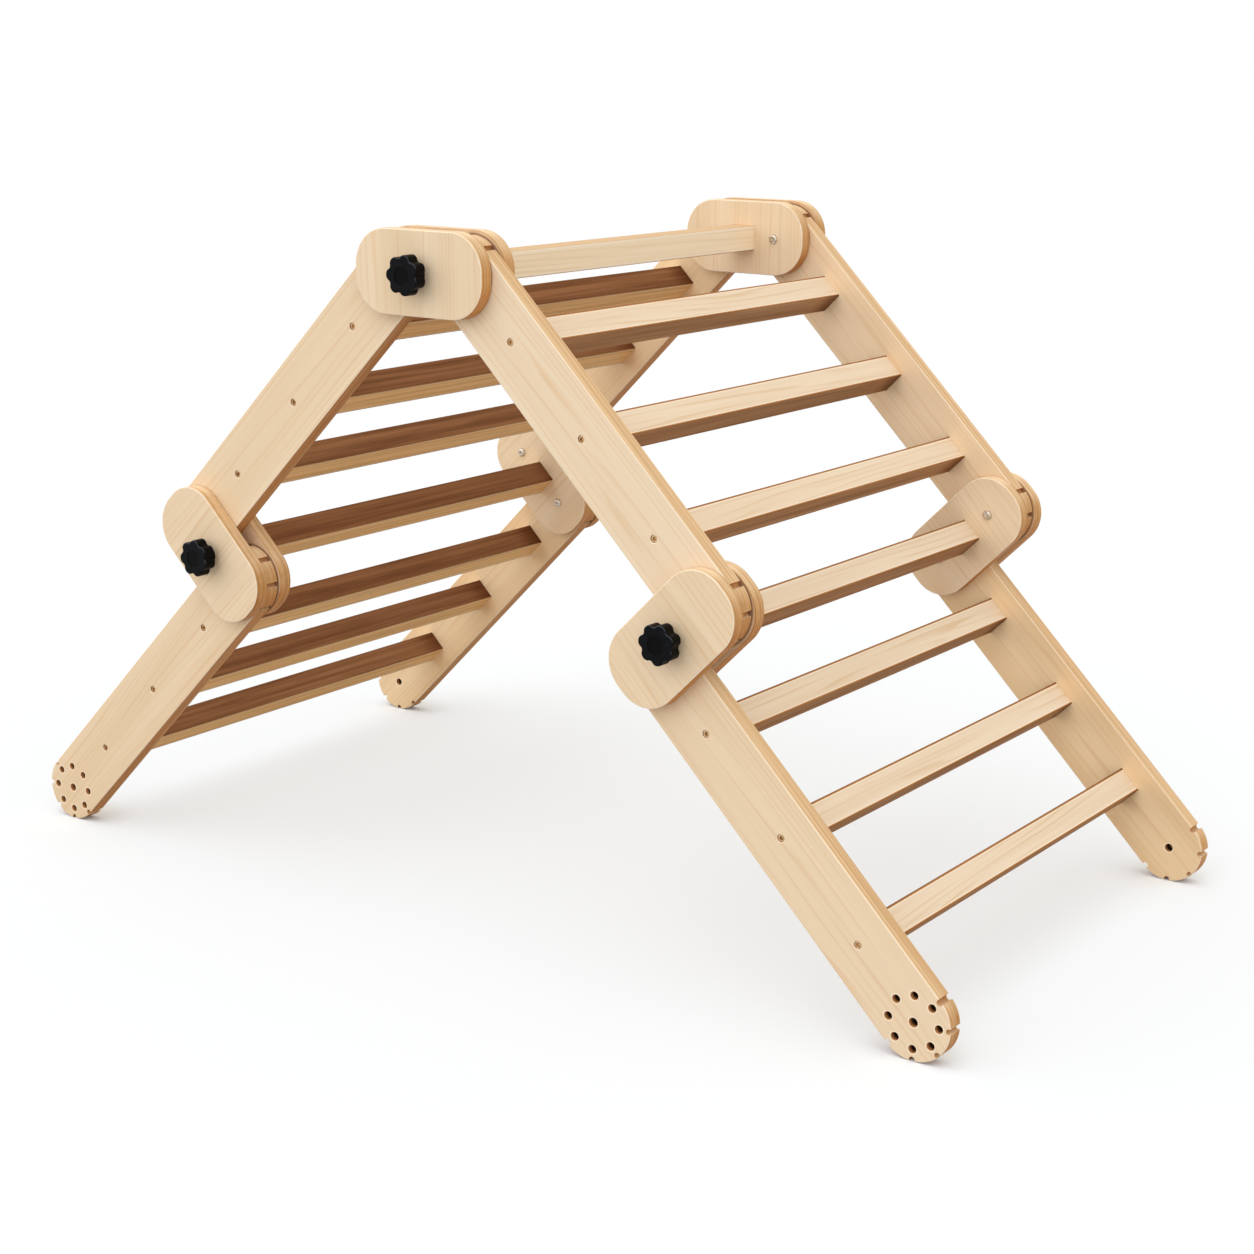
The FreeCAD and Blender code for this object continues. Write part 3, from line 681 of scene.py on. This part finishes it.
# Knobs. A seven-lobed star of black moulded plastic on each station side, with a fine matt
# texture, a pressed-in cap, patches rubbed a little lighter and a painted highlight along its upper
# front edges. It screws the plates together.
knob_black = paint(12, 13, 15)
knob_rubbed = paint(18, 19, 22)
knob_cap = paint(5, 5, 6)
knob_side = paint(8, 8, 8)
knob_glint_tone = paint(72, 77, 86)
knob_sheen = (0.34, 0.48)
knob_shine = 0.05
cap_radius = 0.009
cap_ring = 0.0008
grit_grain = (2600, 2600, 2600)
grit_bump = 0.15
grit_depth = 0.0002
rub_grain = (160, 160, 160)
rub_ends = (0.4, 0.75)
side_turn = (0.6, 0.2)
glint_start = (0.3, 0.6)
glint_end = (0.98, 0.85)
glint_rise = (0.05, 0.35)
glint_share = 0.8


def make_moulding(knob):
    """Black plastic, darkest on the cap and the sides, with a painted highlight along the upper front
    edges.
    """
    material, tree, shader = new_material(knob)
    given = add_node(tree, "TexCoord").outputs
    position = given["Object"]
    low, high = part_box(knob)
    middle = (low + high) / 2
    upright = add_side_view(tree, position)
    reach = add_measure(tree, "DISTANCE", upright, (middle.x, 0, middle.z))
    cap = add_step(tree, reach, cap_radius + cap_ring, cap_radius - cap_ring)
    rub = add_step(tree, add_noise(tree, position, rub_grain, detail=3.0), *rub_ends)
    colour = add_blend(tree, rub, knob_black, knob_rubbed)
    colour = add_blend(tree, cap, colour, knob_cap)
    facing = add_facing(tree, given["Normal"])
    colour = add_blend(tree, add_step(tree, facing, *side_turn), colour, knob_side)
    # Painted highlight on the rounded front edges that face up
    knob_glint = add_step(tree, facing, *glint_start)
    upper = add_step(tree, add_axis(tree, given["Normal"], "Z"), *glint_rise)
    knob_glint = add_product(tree, knob_glint, add_step(tree, facing, *glint_end), upper, glint_share)
    grit = add_noise(tree, position, grit_grain, detail=2.0)
    set_inputs(tree, shader, {
        "Base Color": add_blend(tree, knob_glint, colour, knob_glint_tone),
        "Roughness": add_range(tree, rub, *knob_sheen),
        "Specular IOR Level": knob_shine,
        "Normal": add_bump(tree, grit, grit_bump, grit_depth),
    })
    return material


for name, node in nodes.items():
    if name.endswith("_knob"):
        node.material_slots[0].material = make_moulding(name)


# Floor. A pale sweep that the frame stands on, white to the eye, which keeps the soft shadows and
# deepens them close to the feet. From below it is clear.
def add_background_rays(tree):
    """1 for rays that show the background to the eye or in a reflection, else 0."""
    rays = add_node(tree, "LightPath").outputs
    seen = add_math(tree, "MAXIMUM", rays["Is Camera Ray"], rays["Is Glossy Ray"])
    return add_math(tree, "MAXIMUM", seen, rays["Is Transmission Ray"])


white = (1, 1, 1, 1)
black = (0, 0, 0, 1)
floor_radius = 14.0
floor_sides = 96
floor_bounce = (0.42, 0.42, 0.42, 1)
floor_shown = (0.507, 0.535, 0.565, 1)
floor_glow = 0.4
floor_fade = (1.0, 4.0)
contact_shown = (0.882, 0.93, 0.982, 1)
contact_glow = 0.02
contact_reach = 0.075
contact_place = (foot_centre[0], (rail_inside + rail_outside) / 2, 0)
far_glow = 1.0
bpy.ops.mesh.primitive_circle_add(vertices=floor_sides, radius=floor_radius, fill_type="NGON")
floor = bpy.context.object
floor.name = "floor"
floor_finish, floor_tree, floor_shader = new_material("floor_white")
floor_seen = add_background_rays(floor_tree)
floor_place = add_node(floor_tree, "TexCoord").outputs["Object"]
far = add_step(floor_tree, add_measure(floor_tree, "LENGTH", floor_place), *floor_fade)
floor_mirrored = add_vector(floor_tree, "ABSOLUTE", floor_place)
contact = add_measure(floor_tree, "DISTANCE", floor_mirrored, contact_place)
contact = add_step(floor_tree, contact, contact_reach, contact_reach / 3)
floor_colour = add_blend(floor_tree, contact, floor_shown, contact_shown)
floor_colour = add_blend(floor_tree, far, floor_colour, black)
glow = add_range(floor_tree, contact, floor_glow, contact_glow)
glow = add_range(floor_tree, far, glow, far_glow)
set_inputs(floor_tree, floor_shader, {
    "Base Color": add_blend(floor_tree, floor_seen, floor_bounce, floor_colour),
    "Roughness": 1.0,
    "Specular IOR Level": 0.0,
    "Emission Color": white,
    "Emission Strength": add_product(floor_tree, glow, floor_seen),
})
underneath = add_node(floor_tree, "NewGeometry").outputs["Backfacing"]
clear = add_node(floor_tree, "BsdfTransparent").outputs[0]
sides = {0: underneath, 1: floor_shader.outputs[0], 2: clear}
one_sided = add_node(floor_tree, "MixShader", sides).outputs[0]
set_inputs(floor_tree, floor_tree.nodes["Material Output"], {"Surface": one_sided})
floor.data.materials.append(floor_finish)


# Light. An even, slightly warm surround, a broad soft lamp high at the front left, and a weaker one
# at the right. The lamps are a little cool, so that with the surround they come out white.
warm_white = (1.06, 1.0, 0.9, 1)
cool_white = (0.95, 1.0, 1.09)
surround_strengths = (0.84, 1.0)
surround = bpy.data.worlds.new("surround")
surround.use_nodes = True
sky = surround.node_tree
sky_seen = add_background_rays(sky)
set_inputs(sky, sky.nodes["Background"], {
    "Strength": add_range(sky, sky_seen, *surround_strengths),
    "Color": add_blend(sky, sky_seen, warm_white, white),
})
bpy.context.scene.world = surround


def add_lamp(name, strength, spread, tilt, turn):
    """A far lamp with a wide disc, so that its shadows are soft. Its angles are in degrees."""
    lamp = bpy.data.lights.new(name, "SUN")
    lamp.energy = strength
    lamp.color = cool_white
    lamp.angle = math.radians(spread)
    stand = bpy.data.objects.new(name, lamp)
    stand.rotation_euler = (math.radians(tilt), 0, math.radians(turn))
    bpy.context.scene.collection.objects.link(stand)


add_lamp("key", strength=1.05, spread=90, tilt=48, turn=-34)
add_lamp("fill", strength=0.7, spread=100, tilt=62, turn=52)


# Camera. It stands at the front right, a little above the frame, at the photograph's viewing
# angle.
camera_place = (1.4635, -2.0035, 0.8894)
camera_turn = math.radians(35.655)
camera_tilt = math.radians(90 - 14.243)
camera_roll = math.radians(0.413)
lens = bpy.data.cameras.new("camera")
lens.lens = 65.47
lens.sensor_width = 36.0
camera = bpy.data.objects.new("camera", lens)
aim = Euler((camera_tilt, 0, camera_turn)).to_matrix() @ Matrix.Rotation(camera_roll, 3, "Z")
camera.matrix_world = Matrix.Translation(camera_place) @ aim.to_4x4()
bpy.context.scene.collection.objects.link(camera)
bpy.context.scene.camera = camera
bpy.context.scene.view_settings.view_transform = "Standard"
